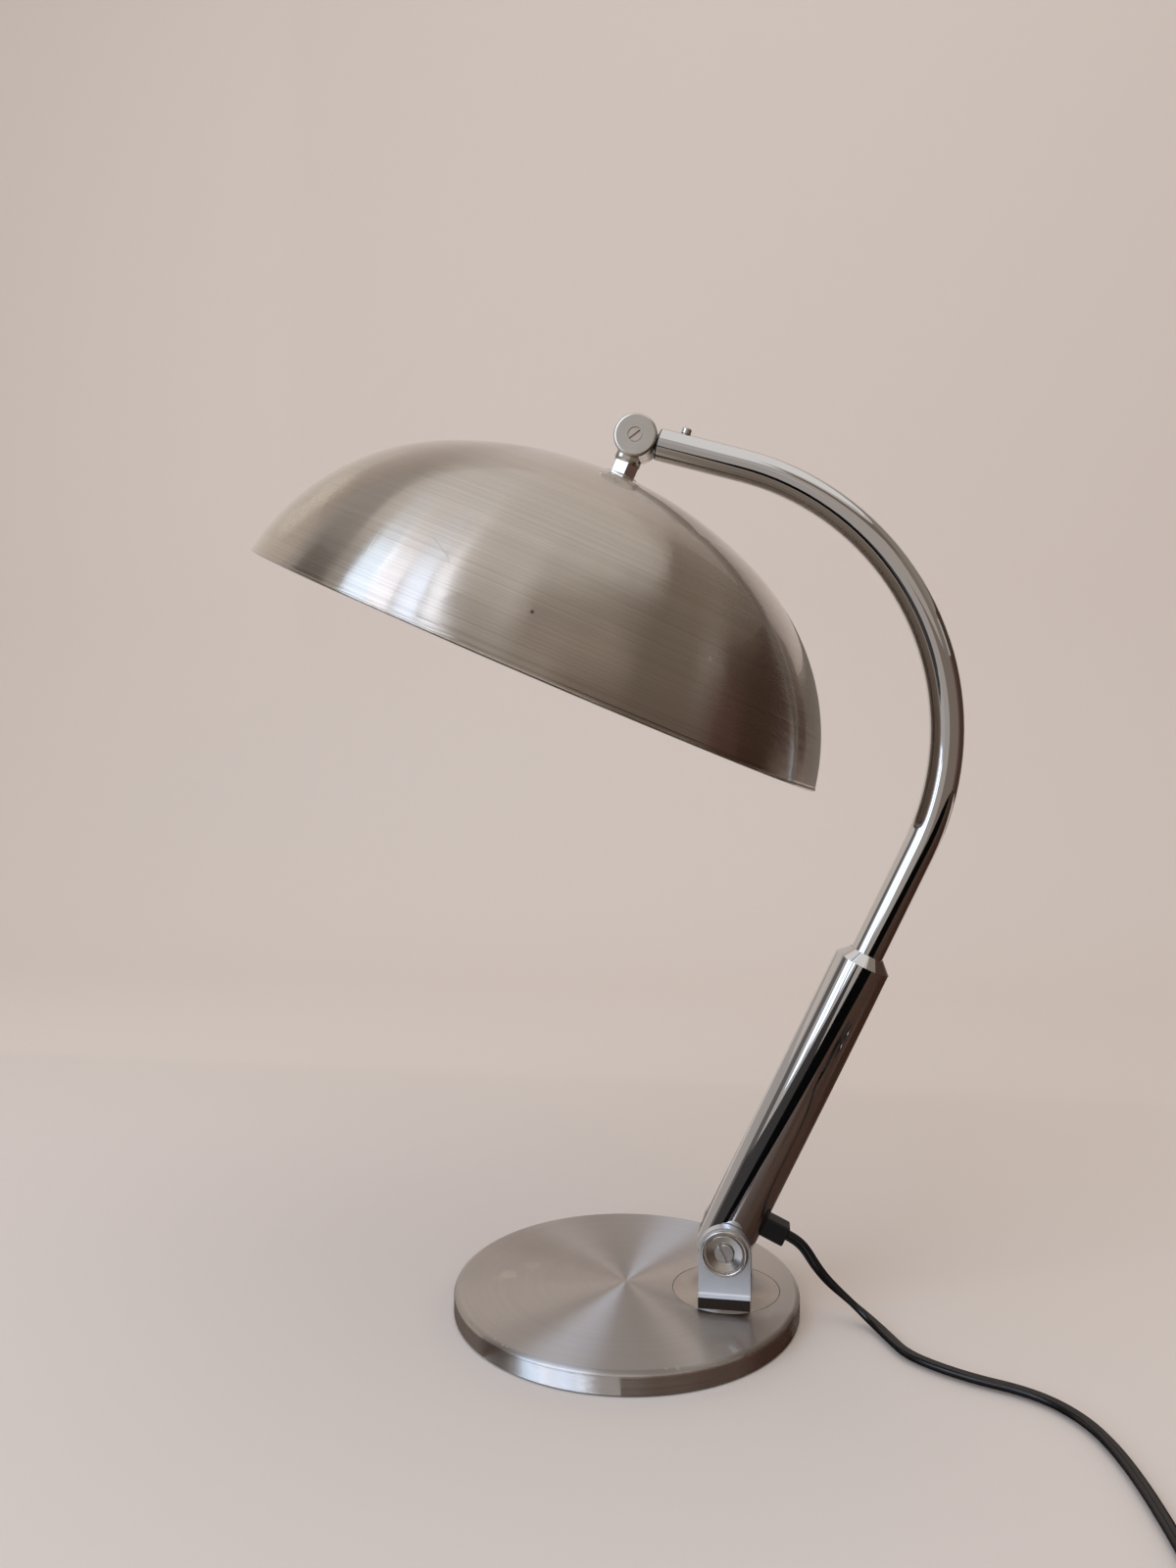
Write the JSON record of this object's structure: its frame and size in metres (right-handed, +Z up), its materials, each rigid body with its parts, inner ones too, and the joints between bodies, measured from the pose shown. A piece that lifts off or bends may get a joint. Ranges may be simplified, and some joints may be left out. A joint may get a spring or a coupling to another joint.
{
  "type": "desk lamp",
  "caption": "Desk lamp with a heavy round base, a swivelling and tilting chromed tube arm, a curved upper tube and a tilting spun dome shade.",
  "frame": {"origin": "centre of the base's underside, on the surface that the lamp stands on", "axes": "+Z up; +X from the base's centre through the swivel axis, away from the shade; the arm and the shade's axis lie in the plane Y = 0"},
  "size_m": [0.5507, 0.4419, 0.5128],
  "materials": {
    "base_steel": "circularly brushed, satin",
    "plate_steel": "circularly brushed, satin",
    "weight_iron": "as cast, painted",
    "felt": "black felt",
    "tube_chrome": "mirror polished",
    "joint_nickel": "satin nickel plate",
    "screw_steel": "turned steel",
    "zinc_steel": "zinc plated",
    "block_alloy": "machined",
    "black_plastic": "matte black",
    "white_plastic": "natural nylon",
    "shade_aluminium": "spun and circularly brushed",
    "holder_plastic": "black phenolic",
    "contact_brass": "bright",
    "bulb_cap_metal": "bright",
    "bulb_glass": "frosted",
    "cord_pvc": "glossy black PVC",
    "plug_plastic": "moulded black",
    "pin_brass": "nickel plated"
  },
  "bodies": {
    "base": {"base_cover": "base_steel", "base_weight": "weight_iron", "base_pad": "felt", "swivel_bush": "white_plastic", "slip_ring": "white_plastic", "cord_lay": "cord_pvc", "cord_coil": "cord_pvc", "plug_body": "plug_plastic", "plug_pins": "pin_brass"},
    "swivel": {"swivel_plate": "plate_steel", "swivel_stud": "zinc_steel", "spring_washer": "zinc_steel", "swivel_nut": "zinc_steel", "ear_front": "joint_nickel", "ear_rear": "joint_nickel", "ear_screws": "screw_steel", "pivot_cup_front": "joint_nickel", "pivot_cup_rear": "joint_nickel", "pivot_bolt": "screw_steel", "pivot_nut": "screw_steel", "pivot_washers": "white_plastic"},
    "arm": {"pivot_block": "block_alloy", "lower_tube": "tube_chrome", "tube_collar": "tube_chrome", "tube_sleeve": "white_plastic", "curved_tube": "tube_chrome", "arm_cable": "cord_pvc", "cord_gland": "black_plastic", "knuckle_tongue": "joint_nickel", "tube_end_bush": "black_plastic", "set_screw": "screw_steel", "cord_drop": "cord_pvc"},
    "shade": {"knuckle_yoke": "joint_nickel", "knuckle_washers": "white_plastic", "knuckle_screw": "screw_steel", "knuckle_nut": "screw_steel", "neck_washer": "joint_nickel", "shade_shell": "shade_aluminium", "nipple": "zinc_steel", "inner_washer": "zinc_steel", "lock_nut": "zinc_steel", "shade_leads": "cord_pvc", "holder_cap": "holder_plastic", "holder_body": "holder_plastic", "holder_ring": "holder_plastic", "socket_shell": "contact_brass", "centre_contact": "contact_brass", "switch_block": "holder_plastic", "bulb_cap": "bulb_cap_metal", "bulb_glass": "bulb_glass"},
    "switch": {"switch_knob": "holder_plastic"}
  },
  "joints": [
    {"name": "base_swivel", "type": "hinge", "parent": "base", "child": "swivel", "pos_m": [0.058, 0, 0.0125], "axis": [0, 0, 1], "range_deg": [-80, 80], "deforming": ["cord_drop"]},
    {"name": "arm_tilt", "type": "hinge", "parent": "swivel", "child": "arm", "pos_m": [0.058, 0, 0.0422], "axis": [0, 1, 0], "range_deg": [-30, 25], "deforming": ["cord_drop"]},
    {"name": "shade_tilt", "type": "hinge", "parent": "arm", "child": "shade", "pos_m": [0.0066, 0, 0.5002], "axis": [0, 1, 0], "range_deg": [-15, 60]},
    {"name": "switch_turn", "type": "hinge", "parent": "shade", "child": "switch", "pos_m": [-0.01085, 0, 0.46025], "axis": [-0.9164, 0, 0.4003], "range_deg": [0, 90]}
  ]
}
